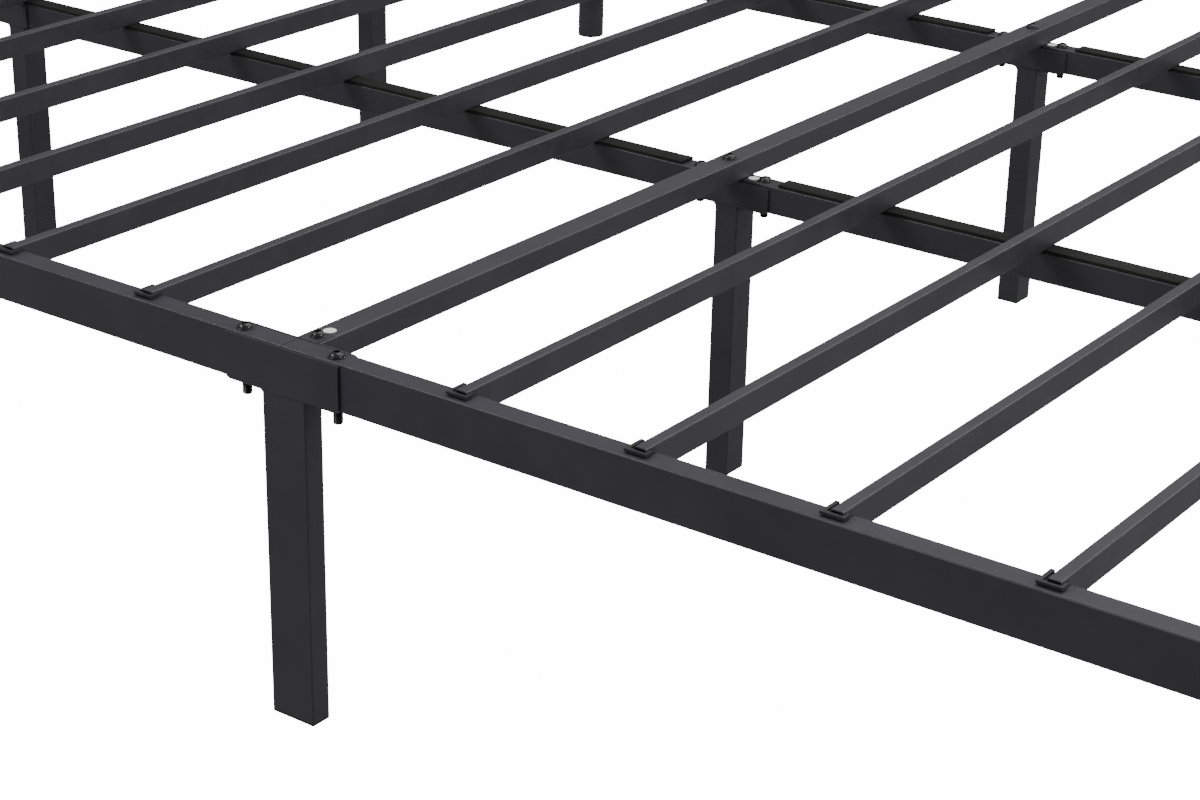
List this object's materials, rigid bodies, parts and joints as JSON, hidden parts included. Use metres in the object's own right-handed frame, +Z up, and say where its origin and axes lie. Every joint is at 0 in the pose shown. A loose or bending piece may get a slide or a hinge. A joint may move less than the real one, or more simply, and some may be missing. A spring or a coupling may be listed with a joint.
{
  "type": "metal bed frame",
  "caption": "Low metal platform bed frame: tubular side rails on T-shaped middle legs and round corner posts, with inner rails, a crossbar and narrow tube slats.",
  "frame": {"origin": "on the floor at the middle of the bed's plan", "axes": "+X along the side rails, +Y across the bed away from the front side rail, +Z up"},
  "size_m": [2.138, 1.83, 0.33],
  "materials": {
    "frame_steel": "satin powder coat",
    "slat_steel": "satin powder coat",
    "leg_steel": "satin powder coat",
    "bolt_steel": "glossy black oxide",
    "strip_rubber": "matte",
    "plug_plastic": "matte moulded",
    "seat_plastic": "satin moulded",
    "sticker_vinyl": "matte white vinyl"
  },
  "bodies": {
    "root": {"side_rail_front_left": "frame_steel", "inner_rail_front_left": "frame_steel", "side_rail_front_right": "frame_steel", "inner_rail_front_right": "frame_steel", "side_rail_back_left": "frame_steel", "inner_rail_back_left": "frame_steel", "side_rail_back_right": "frame_steel", "inner_rail_back_right": "frame_steel", "end_rail_left": "frame_steel", "end_rail_right": "frame_steel", "crossbar": "slat_steel", "slat_left_1": "slat_steel", "slat_left_2": "slat_steel", "slat_left_3": "slat_steel", "slat_left_4": "slat_steel", "slat_left_5": "slat_steel", "slat_left_6": "slat_steel", "slat_right_1": "slat_steel", "slat_right_2": "slat_steel", "slat_right_3": "slat_steel", "slat_right_4": "slat_steel", "slat_right_5": "slat_steel", "slat_right_6": "slat_steel", "rubber_strip_front_left": "strip_rubber", "rubber_strip_front_right": "strip_rubber", "rubber_strip_back_left": "strip_rubber", "rubber_strip_back_right": "strip_rubber", "middle_leg_front": "leg_steel", "middle_leg_back": "leg_steel", "middle_leg_inner_front": "leg_steel", "middle_leg_inner_back": "leg_steel", "end_leg_front_left": "leg_steel", "corner_leg_front_left": "leg_steel", "end_leg_front_right": "leg_steel", "corner_leg_front_right": "leg_steel", "end_leg_back_left": "leg_steel", "corner_leg_back_left": "leg_steel", "end_leg_back_right": "leg_steel", "corner_leg_back_right": "leg_steel", "side_leg_foot_plugs": "plug_plastic", "inner_leg_foot_plugs": "plug_plastic", "corner_leg_foot_caps": "plug_plastic", "corner_leg_top_caps": "plug_plastic", "slat_seats_front": "seat_plastic", "slat_seats_back": "seat_plastic", "rail_bolts": "bolt_steel", "end_rail_bolts": "bolt_steel", "inner_rail_bolts": "bolt_steel", "end_leg_bolts": "bolt_steel", "crossbar_bolts": "bolt_steel", "crossbar_end_bolts": "bolt_steel", "part_stickers": "sticker_vinyl"}
  },
  "joints": []
}
